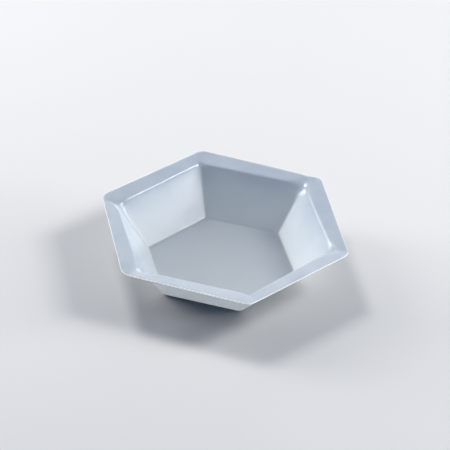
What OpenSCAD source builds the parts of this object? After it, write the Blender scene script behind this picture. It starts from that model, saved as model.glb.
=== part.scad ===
// Weighing boat: a shallow six-sided dish drawn from one sheet of milky plastic,
// with a narrow rim left all round for lifting it and for pouring over a corner. The rim
// rises a little outwards. The dish stands on z = 0, and +X points at one corner of its rim.

/* [Dish] */
// Height from the bench to the sharp line where wall and rim would meet
mouth_h = 16.9; // [12:0.1:25]
// Width of the mouth across its flats, between the sharp lines where wall and rim would meet
mouth_flats = 70; // [64:0.5:90]
// Width of the floor across its flats, between the sharp lines where wall and floor would meet
floor_flats = 49; // [40:0.5:56]
// Radius of the upright corners at the mouth
mouth_corner_r = 1.6; // [1:0.1:5]
// Radius of the upright corners at the floor
floor_corner_r = 1.1; // [1:0.1:5]
// Inside radius of the bend from the rim into the wall
mouth_bend_r = 1.2; // [0.8:0.1:2]
// Inside radius of the bend from the wall into the floor
floor_bend_r = 1; // [0.5:0.1:2]

/* [Rim] */
// Width of the rim, seen from above, from the sharp line at the mouth to the trimmed edge
rim_w = 5.75; // [4:0.25:10]
// Height by which the trimmed edge stands above the sharp line at the mouth
rim_rise = 0.9; // [0:0.1:2]
// Radius of the rim's trimmed corners
rim_corner_r = 4.5; // [3:0.5:9]

/* [Trimming error] */
// Degrees by which the dish is turned inside its trimmed rim
dish_turn = 2.2; // [-3:0.1:3]

/* [Sheet] */
// Thickness of the sheet at the rim, where it was held
rim_t = 0.45; // [0.3:0.05:0.7]
// Thickness of the sheet at the floor, where it was drawn thin
floor_t = 0.35; // [0.2:0.05:0.7]

/* [Hidden] */

// Straight pieces in each rounded corner and in each bend of the sheet
corner_steps = 6;
bend_steps = 5;

// The trimmed edge, and the sheet left outside it for the trimming tool to cut off
rim_flats = mouth_flats + 2 * rim_w;
rim_slope = atan2(rim_rise, rim_w);
trim_waste = 6;
blank_flats = rim_flats + 2 * trim_waste;
blank_edge_h = mouth_h + (rim_w + trim_waste) * tan(rim_slope);

// The wall leans outwards from the floor's sharp line to the mouth's
wall_run = (mouth_flats - floor_flats) / 2;
wall_lean = atan2(wall_run, mouth_h - floor_t);

// The sheet turns through these angles where rim, wall and floor meet. Each bend starts this
// many radii away from its sharp line, and its section is an arc round this centre.
mouth_bend = 90 - wall_lean - rim_slope;
floor_bend = 90 - wall_lean;
mouth_reach = tan(mouth_bend / 2);
floor_reach = tan(floor_bend / 2);
mouth_centre = [
    mouth_flats / 2 + mouth_bend_r * (mouth_reach * cos(rim_slope) + sin(rim_slope)),
    mouth_h + mouth_bend_r * (mouth_reach * sin(rim_slope) - cos(rim_slope))
];
floor_centre = [floor_flats / 2 - floor_bend_r * floor_reach, floor_t + floor_bend_r];

// Radius of the upright corners at a given distance from the axis to the flats
function corner_r(half_flats) =
    floor_corner_r + (mouth_corner_r - floor_corner_r) * (half_flats - floor_flats / 2) / wall_run;

// A bend of the sheet's section, as stations of [distance to the flats, height, corner radius].
// It follows an arc round centre, and moving the face by offset keeps the sheet's thickness even.
function bend(centre, radius, offset, from, to) = [
    for (i = [0:bend_steps])
        let (angle = from + (to - from) * i / bend_steps)
        [
            centre[0] + (radius + offset) * cos(angle),
            centre[1] + (radius + offset) * sin(angle),
            corner_r(centre[0] + radius * cos(angle)) + offset * cos(angle)
        ]
];

// One ring of the sheet: a hexagon with its corners rounded, one of them towards +X
function ring(station) = [
    for (corner = [0:60:300], i = [0:corner_steps])
        let (
            angle = corner + 60 * (i / corner_steps - 0.5),
            corner_reach = (station[0] - station[2]) / cos(30)
        )
        [
            corner_reach * cos(corner) + station[2] * cos(angle),
            corner_reach * sin(corner) + station[2] * sin(angle),
            station[1]
        ]
];

// The drawn sheet before trimming: rings run in over the rim, down the inside to the floor,
// and back up the outside, and flat faces close the floor above and below.
module formed_sheet() {
    blank_r = rim_corner_r;
    upper_face = concat(
        [[blank_flats / 2, blank_edge_h, blank_r]],
        bend(mouth_centre, mouth_bend_r, 0, 90 + rim_slope, 180 - wall_lean),
        bend(floor_centre, floor_bend_r, 0, -wall_lean, -90)
    );
    under_face = concat(
        bend(floor_centre, floor_bend_r, floor_t, -90, -wall_lean),
        bend(mouth_centre, mouth_bend_r, -rim_t, 180 - wall_lean, 90 + rim_slope),
        [[blank_flats / 2, blank_edge_h - rim_t / cos(rim_slope), blank_r]]
    );
    stations = concat(upper_face, under_face);
    count = len(stations);
    around = len(ring(stations[0]));
    floor_ring = len(upper_face) - 1;
    bands = [
        for (r = [0:count - 1], i = [0:around - 1])
            let (
                inner = ((r + 1) % count) * around,
                outer = r * around,
                next = (i + 1) % around
            )
            if (r != floor_ring) [outer + i, inner + i, inner + next, outer + next]
    ];
    floor_above = [for (i = [around - 1:-1:0]) floor_ring * around + i];
    floor_below = [for (i = [0:around - 1]) (floor_ring + 1) * around + i];
    polyhedron([for (s = stations) each ring(s)], concat(bands, [floor_above, floor_below]));
}

// What the trimming tool leaves: everything inside a hexagon with rounded corners
module trimming_tool() {
    corner_reach = (rim_flats / 2 - rim_corner_r) / cos(30);
    linear_extrude(height = blank_edge_h + trim_waste) {
        polygon([
            for (corner = [0:60:300], side = [-30, 30])
                corner_reach * [cos(corner), sin(corner)]
                + rim_corner_r * [cos(corner + side), sin(corner + side)]
        ]);
        for (corner = [0:60:300])
            rotate(corner) translate([corner_reach, 0]) circle(rim_corner_r, $fn = 72);
    }
}

module dish() {
    color([0.80, 0.85, 0.90])
        intersection() {
            rotate(dish_turn) formed_sheet();
            translate([0, 0, -trim_waste / 2]) trimming_tool();
        }
}

dish();
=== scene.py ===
import math

import bpy
from mathutils import Matrix, Vector


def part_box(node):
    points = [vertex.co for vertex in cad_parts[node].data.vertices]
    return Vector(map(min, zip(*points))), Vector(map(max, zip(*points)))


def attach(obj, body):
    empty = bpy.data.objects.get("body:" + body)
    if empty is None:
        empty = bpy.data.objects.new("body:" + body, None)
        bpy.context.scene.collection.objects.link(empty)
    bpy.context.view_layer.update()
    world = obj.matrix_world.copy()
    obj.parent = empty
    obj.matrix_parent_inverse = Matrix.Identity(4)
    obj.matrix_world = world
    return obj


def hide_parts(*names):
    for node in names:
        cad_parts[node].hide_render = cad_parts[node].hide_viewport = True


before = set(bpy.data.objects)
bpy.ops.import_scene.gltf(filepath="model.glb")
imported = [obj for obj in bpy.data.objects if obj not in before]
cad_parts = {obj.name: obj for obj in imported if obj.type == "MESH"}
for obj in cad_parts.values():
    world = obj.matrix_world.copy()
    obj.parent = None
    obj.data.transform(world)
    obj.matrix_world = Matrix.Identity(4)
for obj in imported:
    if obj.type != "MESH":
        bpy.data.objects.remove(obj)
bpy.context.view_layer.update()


# The dish. One sheet of milky polystyrene is heated, drawn down into a six-sided form and
# trimmed to a narrow rim that springs up a little. It thins from the rim down to the floor. The
# trimming tool came down slightly askew, so the dish sits turned inside its rim.

MM = 0.001
dish_low, dish_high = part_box("dish")

SIDES = 6
SIDE_DEGREES = 360 / SIDES
HALF_SIDE = math.pi / SIDES

RIM_FLATS = dish_high.y - dish_low.y
RIM_CORNER_R = 4.5 * MM
RIM_RISE = 0.9 * MM
RIM_T = 0.45 * MM

MOUTH_HEIGHT = 16.9 * MM
MOUTH_FLATS = 70 * MM
MOUTH_BEND_R = 1.2 * MM

FLOOR_FLATS = 49 * MM
FLOOR_CORNER_R = 0.8 * MM
FLOOR_BEND_R = 0.8 * MM
FLOOR_T = 0.35 * MM

TRIM_TURN = math.radians(2.2)
TRIM_WASTE = 6 * MM

CORNER_CUTS = 8
SIDE_CUTS = 19
WALL_CUTS = 8
RIM_CUTS = 7
BEND_CUTS = 7
FLOOR_RINGS = 6
ROUND = 0.5
HAIR = 0.01 * MM
SPECK = HAIR / 10

rim_w = (RIM_FLATS - MOUTH_FLATS) / 2
rim_slope = math.atan2(RIM_RISE, rim_w)
wall_lean = math.atan2((MOUTH_FLATS - FLOOR_FLATS) / 2, MOUTH_HEIGHT - FLOOR_T)
blank_flats = RIM_FLATS + 2 * TRIM_WASTE

# The floor's outline: a hexagon with rounded corners, one of them towards +X.
bpy.ops.object.select_all(action="DESELECT")
bpy.ops.mesh.primitive_circle_add(
    vertices=SIDES,
    radius=FLOOR_FLATS / 2 / math.cos(HALF_SIDE),
    fill_type="NGON",
    location=(0, 0, FLOOR_T),
    rotation=(0, 0, HALF_SIDE),
)
dish = bpy.context.object
dish.name = "drawn_dish"
bpy.ops.object.transform_apply(location=True, rotation=True, scale=True)
bpy.ops.object.mode_set(mode="EDIT")
bpy.ops.mesh.select_all(action="SELECT")
bpy.ops.mesh.bevel(
    affect="VERTICES",
    offset_type="OFFSET",
    offset=FLOOR_CORNER_R * math.tan(HALF_SIDE),
    segments=CORNER_CUTS,
    profile=ROUND,
)
bpy.ops.mesh.delete(type="ONLY_FACE")


def select_edges(wanted):
    """Leaves only those edges of the dish selected whose two ends pass the test."""
    bpy.ops.mesh.select_mode(type="EDGE")
    bpy.ops.mesh.select_all(action="DESELECT")
    bpy.ops.object.mode_set(mode="OBJECT")
    points = dish.data.vertices
    for edge in dish.data.edges:
        edge.select = wanted(*[points[v].co for v in edge.vertices])
    bpy.ops.object.mode_set(mode="EDIT")


select_edges(lambda a, b: (a - b).length > FLOOR_CORNER_R)
bpy.ops.mesh.subdivide(number_cuts=SIDE_CUTS)

# The outline is drawn up and outwards, to the mouth and then on to the edge of the blank.
height, flats = FLOOR_T, FLOOR_FLATS
for next_height, next_flats, cuts in (
    (MOUTH_HEIGHT, MOUTH_FLATS, WALL_CUTS),
    (MOUTH_HEIGHT + (blank_flats - MOUTH_FLATS) / 2 * math.tan(rim_slope), blank_flats, RIM_CUTS),
):
    select_edges(lambda a, b: min(a.z, b.z) > height - HAIR and abs(a.z - b.z) < HAIR)
    bpy.ops.mesh.extrude_edges_move(
        TRANSFORM_OT_translate={"value": (0, 0, next_height - height)},
    )
    bpy.ops.transform.resize(
        value=(next_flats / flats, next_flats / flats, 1),
        center_override=(0, 0, next_height),
    )
    select_edges(lambda a, b: min(a.z, b.z) > height - HAIR and abs(a.z - b.z) > HAIR)
    bpy.ops.mesh.subdivide(number_cuts=cuts)
    height, flats = next_height, next_flats


def bend_sheet(height, turn, radius):
    """Rounds the sharp line at one height, where the sheet turns by the given angle."""
    select_edges(lambda a, b: abs(a.z - height) < HAIR and abs(b.z - height) < HAIR)
    if height == FLOOR_T:
        bpy.ops.mesh.edge_face_add()
    bpy.ops.mesh.bevel(
        affect="EDGES",
        offset_type="OFFSET",
        offset=radius * math.tan(turn / 2),
        segments=BEND_CUTS,
        profile=ROUND,
    )


bend_sheet(MOUTH_HEIGHT, math.pi / 2 - wall_lean - rim_slope, MOUTH_BEND_R)
bend_sheet(FLOOR_T, math.pi / 2 - wall_lean, FLOOR_BEND_R)

# The floor is divided into rings, so that its faces aren't much larger than the walls'.
bpy.ops.mesh.select_mode(type="FACE")
bpy.ops.mesh.select_all(action="DESELECT")
bpy.ops.object.mode_set(mode="OBJECT")
for face in dish.data.polygons:
    face.select = len(face.vertices) > 4
bpy.ops.object.mode_set(mode="EDIT")
for step in range(FLOOR_RINGS, 1, -1):
    bpy.ops.mesh.extrude_region_move(TRANSFORM_OT_translate={"value": (0, 0, 0)})
    bpy.ops.transform.resize(
        value=((step - 1) / step, (step - 1) / step, 1),
        center_override=(0, 0, FLOOR_T),
    )
bpy.ops.mesh.poke()
bpy.ops.mesh.select_all(action="SELECT")
bpy.ops.mesh.remove_doubles(threshold=SPECK)
bpy.ops.mesh.normals_make_consistent(inside=False)
bpy.ops.object.mode_set(mode="OBJECT")
floor_face = min(dish.data.polygons, key=lambda face: face.center.z)
if floor_face.normal.z < 0:
    dish.data.flip_normals()

# The sheet is turned and trimmed. Each short cut takes one facet of a rounded corner, and the
# first and the last of a corner run on along the sides.
bpy.ops.object.mode_set(mode="EDIT")
bpy.ops.mesh.select_all(action="SELECT")
bpy.ops.transform.rotate(value=-TRIM_TURN, orient_axis="Z", center_override=(0, 0, 0))
corner_reach = (RIM_FLATS / 2 - RIM_CORNER_R) / math.cos(HALF_SIDE)
for corner in range(SIDES):
    towards = math.radians(SIDE_DEGREES * corner)
    centre = Vector((math.cos(towards), math.sin(towards), 0)) * corner_reach
    for cut in range(CORNER_CUTS + 1):
        facing = towards + math.radians(SIDE_DEGREES * cut / CORNER_CUTS - SIDE_DEGREES / 2)
        outwards = Vector((math.cos(facing), math.sin(facing), 0))
        bpy.ops.mesh.select_all(action="SELECT")
        bpy.ops.mesh.bisect(
            plane_co=centre + outwards * RIM_CORNER_R,
            plane_no=outwards,
            clear_outer=True,
            threshold=SPECK,
        )
bpy.ops.object.mode_set(mode="OBJECT")

# The sheet keeps its full thickness at the rim and thins evenly down the wall to the floor,
# and the higher it is, the more it wavers, because only the floor lay flat as it cooled.
held = dish.vertex_groups.new(name="held")
free = dish.vertex_groups.new(name="free")
for point in dish.data.vertices:
    share = (point.co.z - FLOOR_T) / (MOUTH_HEIGHT - FLOOR_T)
    share = min(max(share, 0), 1)
    held.add([point.index], share, "REPLACE")
    free.add([point.index], share**2, "REPLACE")

# At each corner of the mouth the sheet is drawn both ways at once, so it doesn't follow the
# form there as tightly as along the sides. How far the slack reaches differs from corner to
# corner, and it fades out over the outer half of its reach. The first value is the corner
# towards +X, and they run on towards +Y.
CORNER_SLACK = (2.8 * MM, 6 * MM, 1.2 * MM, 2.6 * MM, 5 * MM, 1.5 * MM)
SLACK_ROUNDS = 100
slack = dish.vertex_groups.new(name="slack")
mouth_reach = (MOUTH_FLATS / 2) / math.cos(HALF_SIDE) - MOUTH_BEND_R / 2
for corner, reach in enumerate(CORNER_SLACK):
    towards = math.radians(SIDE_DEGREES * corner) + TRIM_TURN
    tip = Vector((math.cos(towards), math.sin(towards), 0)) * mouth_reach
    tip.z = MOUTH_HEIGHT
    for point in dish.data.vertices:
        near = 1 - (point.co - tip).length / reach
        if near > 0:
            slack.add([point.index], min(2 * near, 1), "REPLACE")
soft_corners = dish.modifiers.new("soft_corners", "SMOOTH")
soft_corners.vertex_group = slack.name
soft_corners.factor = 1
soft_corners.iterations = SLACK_ROUNDS

WAVER = 0.25 * MM
WAVER_LENGTH = 12 * MM
unevenness = bpy.data.textures.new("unevenness", "CLOUDS")
unevenness.noise_scale = WAVER_LENGTH
unevenness.noise_depth = 1
waver = dish.modifiers.new("waver", "DISPLACE")
waver.texture = unevenness
waver.texture_coords = "LOCAL"
waver.strength = WAVER
waver.vertex_group = free.name

CUT_EDGE_BEVEL = 0.13 * MM
CUT_EDGE_CUTS = 3
SHARP_CUT = math.radians(60)
sheet = dish.modifiers.new("sheet", "SOLIDIFY")
sheet.thickness = RIM_T
sheet.offset = -1
sheet.use_even_offset = True
sheet.vertex_group = held.name
sheet.thickness_vertex_group = FLOOR_T / RIM_T
sheet.material_offset_rim = 1
cut_edge = dish.modifiers.new("cut_edge", "BEVEL")
cut_edge.width = CUT_EDGE_BEVEL
cut_edge.segments = CUT_EDGE_CUTS
cut_edge.material = 1
cut_edge.limit_method = "ANGLE"
cut_edge.angle_limit = SHARP_CUT

MILK = (0.54, 0.61, 0.70, 1)
MILK_THIN = (0.46, 0.53, 0.63, 1)
# The floor's tone: partly the thinner sheet's own tint, partly painted light that brightens the
# lower walls and the floor.
FLOOR_TINT_AND_LIGHT = (0.80, 0.90, 0.93, 1)
# The whitened colour of the cut edge, which is also the colour of its painted glow.
WHITENED_AND_GLOW = (0.93, 0.95, 0.97, 1)
FLOOR_TINT_AND_LIGHT_SHARE = 0.85
RED_GOES_FURTHEST = (1.06, 1, 0.95)
SHEET_IOR = 1.5

CLOUD_SCALE = 60
CLOUD_DETAIL = 3
THIN_UP_TO, THICK_FROM = 0.35, 0.65
SKIN_SCALE = 900
SKIN_DETAIL = 2
SKIN_HEIGHT = 0.05 * MM

LIGHT_REACH = 2.7 * MM
SHEET_ROUGH = (0.15, 0.21)
SHEET_SKIN = 0.2
EDGE_REACH = 6 * MM
EDGE_ROUGH = (0.45, 0.6)
EDGE_SKIN = 0.3
# Painted glow: the cut edge shines by itself with this strength, though no lamp lights it.
PAINTED_EDGE_GLOW = 0.5


def sheet_grain():
    """Named effect: the cloudy milk and the fine orange-peel skin of a drawn sheet."""
    group = bpy.data.node_groups.new("sheet_grain", "ShaderNodeTree")
    sockets = group.interface
    cloud_in = sockets.new_socket("Cloud Scale", in_out="INPUT", socket_type="NodeSocketFloat")
    skin_in = sockets.new_socket("Skin Strength", in_out="INPUT", socket_type="NodeSocketFloat")
    cloud_in.default_value = CLOUD_SCALE
    skin_in.default_value = SHEET_SKIN
    sockets.new_socket("Cloud", in_out="OUTPUT", socket_type="NodeSocketFloat")
    sockets.new_socket("Normal", in_out="OUTPUT", socket_type="NodeSocketVector")
    nodes, links = group.nodes, group.links
    entry = nodes.new("NodeGroupInput")
    leave = nodes.new("NodeGroupOutput")
    place = nodes.new("ShaderNodeTexCoord")

    cloud = nodes.new("ShaderNodeTexNoise")
    cloud.inputs["Detail"].default_value = CLOUD_DETAIL
    links.new(place.outputs["Object"], cloud.inputs["Vector"])
    links.new(entry.outputs["Cloud Scale"], cloud.inputs["Scale"])
    links.new(cloud.outputs["Fac"], leave.inputs["Cloud"])

    skin = nodes.new("ShaderNodeTexNoise")
    skin.inputs["Scale"].default_value = SKIN_SCALE
    skin.inputs["Detail"].default_value = SKIN_DETAIL
    links.new(place.outputs["Object"], skin.inputs["Vector"])
    bump = nodes.new("ShaderNodeBump")
    bump.inputs["Distance"].default_value = SKIN_HEIGHT
    links.new(entry.outputs["Skin Strength"], bump.inputs["Strength"])
    links.new(skin.outputs["Fac"], bump.inputs["Height"])
    links.new(bump.outputs["Normal"], leave.inputs["Normal"])
    return group


grain = sheet_grain()


def milky_sheet(name, thin, thick, reach, rough, skin):
    """Milky polystyrene: light passes through it, its tone and gloss drift with its clouds,
    and its tone gets paler and less blue down to the floor: partly the tint of the sheet where it
    was drawn the furthest, partly painted light that brightens the lower walls and the floor."""
    made = bpy.data.materials.new(name)
    made.use_nodes = True
    nodes, links = made.node_tree.nodes, made.node_tree.links
    shader = nodes["Principled BSDF"]
    effect = nodes.new("ShaderNodeGroup")
    effect.node_tree = grain
    effect.inputs["Cloud Scale"].default_value = CLOUD_SCALE
    effect.inputs["Skin Strength"].default_value = skin

    tone = nodes.new("ShaderNodeValToRGB")
    tone.color_ramp.elements[0].position = THIN_UP_TO
    tone.color_ramp.elements[0].color = thin
    tone.color_ramp.elements[1].position = THICK_FROM
    tone.color_ramp.elements[1].color = thick
    links.new(effect.outputs["Cloud"], tone.inputs["Fac"])

    place = nodes.new("ShaderNodeTexCoord")
    axes = nodes.new("ShaderNodeSeparateXYZ")
    depth = nodes.new("ShaderNodeMapRange")
    depth.inputs["From Min"].default_value = MOUTH_HEIGHT
    depth.inputs["From Max"].default_value = 0
    depth.inputs["To Max"].default_value = FLOOR_TINT_AND_LIGHT_SHARE
    # Painted light: the tone is mixed paler towards the floor, which also brightens the lower
    # walls.
    paler_below = nodes.new("ShaderNodeMix")
    paler_below.data_type = "RGBA"
    paler_below.inputs["B"].default_value = FLOOR_TINT_AND_LIGHT
    links.new(place.outputs["Object"], axes.inputs["Vector"])
    links.new(axes.outputs["Z"], depth.inputs["Value"])
    links.new(depth.outputs["Result"], paler_below.inputs["Factor"])
    links.new(tone.outputs["Color"], paler_below.inputs["A"])
    links.new(paler_below.outputs["Result"], shader.inputs["Base Color"])

    gloss = nodes.new("ShaderNodeMapRange")
    gloss.inputs["To Min"].default_value = rough[0]
    gloss.inputs["To Max"].default_value = rough[1]
    links.new(effect.outputs["Cloud"], gloss.inputs["Value"])
    links.new(gloss.outputs["Result"], shader.inputs["Roughness"])
    links.new(effect.outputs["Normal"], shader.inputs["Normal"])
    shader.inputs["IOR"].default_value = SHEET_IOR
    shader.inputs["Subsurface Weight"].default_value = 1
    shader.inputs["Subsurface Radius"].default_value = RED_GOES_FURTHEST
    shader.inputs["Subsurface Scale"].default_value = reach
    return made


dish.data.materials.append(
    milky_sheet("milky_sheet", MILK_THIN, MILK, LIGHT_REACH, SHEET_ROUGH, SHEET_SKIN)
)

# The shears left the cut edge matt and whitened. Its shine is a painted glow: a fixed white
# emission stands in for light that has run along inside the sheet and comes out there.
glowing_sheared_edge = milky_sheet("glowing_sheared_edge", MILK, WHITENED_AND_GLOW, EDGE_REACH, EDGE_ROUGH, EDGE_SKIN)
edge_shader = glowing_sheared_edge.node_tree.nodes["Principled BSDF"]
# Painted glow: a fixed white emission on the cut edge.
edge_shader.inputs["Emission Color"].default_value = WHITENED_AND_GLOW
edge_shader.inputs["Emission Strength"].default_value = PAINTED_EDGE_GLOW
dish.data.materials.append(glowing_sheared_edge)

# The modifiers are applied with both materials in place, so that the cut edge gets its own.
bpy.ops.object.select_all(action="DESELECT")
dish.select_set(True)
bpy.context.view_layer.objects.active = dish
for name in [modifier.name for modifier in dish.modifiers]:
    bpy.ops.object.modifier_apply(modifier=name)
bpy.ops.object.shade_smooth_by_angle(angle=SHARP_CUT)

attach(dish, "root")
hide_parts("dish")


# The bench. A plain pale top that the dish stands on, far wider than the dish, so that its
# edge never shows. It is seen pale, but it throws little light back up into the milky sheet,
# and it lies a hair below the dish, so that the two never touch.

BENCH_SIZE = 6
BENCH_GAP = 0.05 * MM
bpy.ops.object.select_all(action="DESELECT")
bpy.ops.mesh.primitive_plane_add(size=BENCH_SIZE, location=(0, 0, -BENCH_GAP))
bench = bpy.context.object
bench.name = "bench"

BENCH_SEEN = (0.73, 0.72, 0.70, 1)
BENCH_LIT = (0.03, 0.03, 0.03, 1)
BENCH_ROUGH = 0.6


def seen_share(nodes, links):
    """The mask of what is seen: straight, in a sheen or through glass, but not as light."""
    ray = nodes.new("ShaderNodeLightPath")
    shown = nodes.new("ShaderNodeMath")
    shown.operation = "ADD"
    mirrored = nodes.new("ShaderNodeMath")
    mirrored.operation = "ADD"
    mirrored.use_clamp = True
    links.new(ray.outputs["Is Camera Ray"], shown.inputs[0])
    links.new(ray.outputs["Is Glossy Ray"], shown.inputs[1])
    links.new(shown.outputs["Value"], mirrored.inputs[0])
    links.new(ray.outputs["Is Transmission Ray"], mirrored.inputs[1])
    return mirrored.outputs["Value"]


bench_paint = bpy.data.materials.new("bench_paint")
bench_paint.use_nodes = True
nodes, links = bench_paint.node_tree.nodes, bench_paint.node_tree.links
paint = nodes["Principled BSDF"]
paint.inputs["Roughness"].default_value = BENCH_ROUGH
shade = nodes.new("ShaderNodeMix")
shade.data_type = "RGBA"
shade.inputs["A"].default_value = BENCH_LIT
shade.inputs["B"].default_value = BENCH_SEEN
links.new(seen_share(nodes, links), shade.inputs["Factor"])
links.new(shade.outputs["Result"], paint.inputs["Base Color"])
bench.data.materials.append(bench_paint)


# The studio light. Two groups of softboxes stand behind the dish, to its right and to its left.
# The low ones shine through its walls, and the high ones draw the bright lines and spots on its
# bends. Two weak lamps straight behind it light the near side of the rim.

DISH_MIDDLE = Vector((0, 0, 0.01))
LAMP_DISTANCE = 0.8


def direction(azimuth, elevation):
    """The way out from the dish in degrees: round from the front by the right, and up."""
    around, above = math.radians(azimuth), math.radians(elevation)
    return Vector((
        math.sin(around) * math.cos(above),
        -math.cos(around) * math.cos(above),
        math.sin(above),
    ))


def softbox(name, azimuth, elevation, size, watts):
    """One square lamp that faces the dish from the given side and height."""
    away = direction(azimuth, elevation)
    lamp = bpy.data.lights.new(name, "AREA")
    lamp.shape = "SQUARE"
    lamp.size = size
    lamp.energy = watts
    box = bpy.data.objects.new(name, lamp)
    bpy.context.scene.collection.objects.link(box)
    box.location = DISH_MIDDLE + away * LAMP_DISTANCE
    box.rotation_euler = away.to_track_quat("Z", "Y").to_euler()


softbox("right_softbox", 121, 31, 0.25, 1.1)
softbox("low_right_softbox", 111, 8, 0.25, 3.6)
softbox("high_right_softbox", 114, 43, 0.24, 3.0)
softbox("left_softbox", 256, 30, 0.25, 1.5)
softbox("low_left_softbox", 267, 16, 0.25, 2.6)
softbox("high_left_softbox", 234, 53, 0.22, 2.4)
softbox("low_left_lamp", 247, 13, 0.15, 0.7)
softbox("back_softbox", 195, 18, 0.3, 0.2)
softbox("back_lamp", 183, 7, 0.15, 0.4)

# The room as the eye and the sheen see it, from its dim side to its bright one, and the faint
# blue skylight, which is all the light that the room adds.
SKYLIGHT = (0, 0.04, 0.12, 1)
ROOM_DIM = (0.10, 0.12, 0.15, 1)
ROOM_BRIGHT = (1, 0.98, 0.92, 1)
BRIGHT_SIDE = Vector((-0.25, 0.8, -0.55))
DIM_UP_TO, BRIGHT_FROM = -0.2, 0.65
room = bpy.data.worlds.new("room")
bpy.context.scene.world = room
room.use_nodes = True
nodes, links = room.node_tree.nodes, room.node_tree.links
sky = nodes["Background"]
looked_at = nodes.new("ShaderNodeTexCoord")
side = nodes.new("ShaderNodeVectorMath")
side.operation = "DOT_PRODUCT"
side.inputs[1].default_value = BRIGHT_SIDE
brightness = nodes.new("ShaderNodeMapRange")
brightness.inputs["From Min"].default_value = DIM_UP_TO
brightness.inputs["From Max"].default_value = BRIGHT_FROM
wash = nodes.new("ShaderNodeValToRGB")
wash.color_ramp.elements[0].color = ROOM_DIM
wash.color_ramp.elements[1].color = ROOM_BRIGHT
links.new(looked_at.outputs["Generated"], side.inputs[0])
links.new(side.outputs["Value"], brightness.inputs["Value"])
links.new(brightness.outputs["Result"], wash.inputs["Fac"])
shade = nodes.new("ShaderNodeMix")
shade.data_type = "RGBA"
shade.inputs["A"].default_value = SKYLIGHT
links.new(seen_share(nodes, links), shade.inputs["Factor"])
links.new(wash.outputs["Color"], shade.inputs["B"])
links.new(shade.outputs["Result"], sky.inputs["Color"])


# The camera. A long lens looks down on the dish from the front and a little to the right. It is
# held slightly askew and aims at the middle of the mouth.

CAMERA_AZIMUTH = 17.69
CAMERA_ELEVATION = 36.26
CAMERA_ROLL = math.radians(2.75)
CAMERA_DISTANCE = 0.919
CAMERA_LENS = 204.8
CAMERA_SEES_FROM, CAMERA_SEES_TO = 0.01, 50
AIM_RIGHT = 0.34 * MM
AIM_UP = 0.45 * MM

eye = bpy.data.cameras.new("camera")
eye.lens = CAMERA_LENS
eye.clip_start = CAMERA_SEES_FROM
eye.clip_end = CAMERA_SEES_TO
camera = bpy.data.objects.new("camera", eye)
bpy.context.scene.collection.objects.link(camera)
bpy.context.scene.camera = camera
back = direction(CAMERA_AZIMUTH, CAMERA_ELEVATION)
level_view = (-back).to_track_quat("-Z", "Y")
rolled = level_view @ Matrix.Rotation(CAMERA_ROLL, 3, "Z").to_quaternion()
camera.rotation_mode = "QUATERNION"
camera.rotation_quaternion = rolled
aim = Vector((0, 0, MOUTH_HEIGHT)) + rolled @ Vector((AIM_RIGHT, AIM_UP, 0))
camera.location = aim + back * CAMERA_DISTANCE

bpy.context.scene.view_settings.view_transform = "Standard"
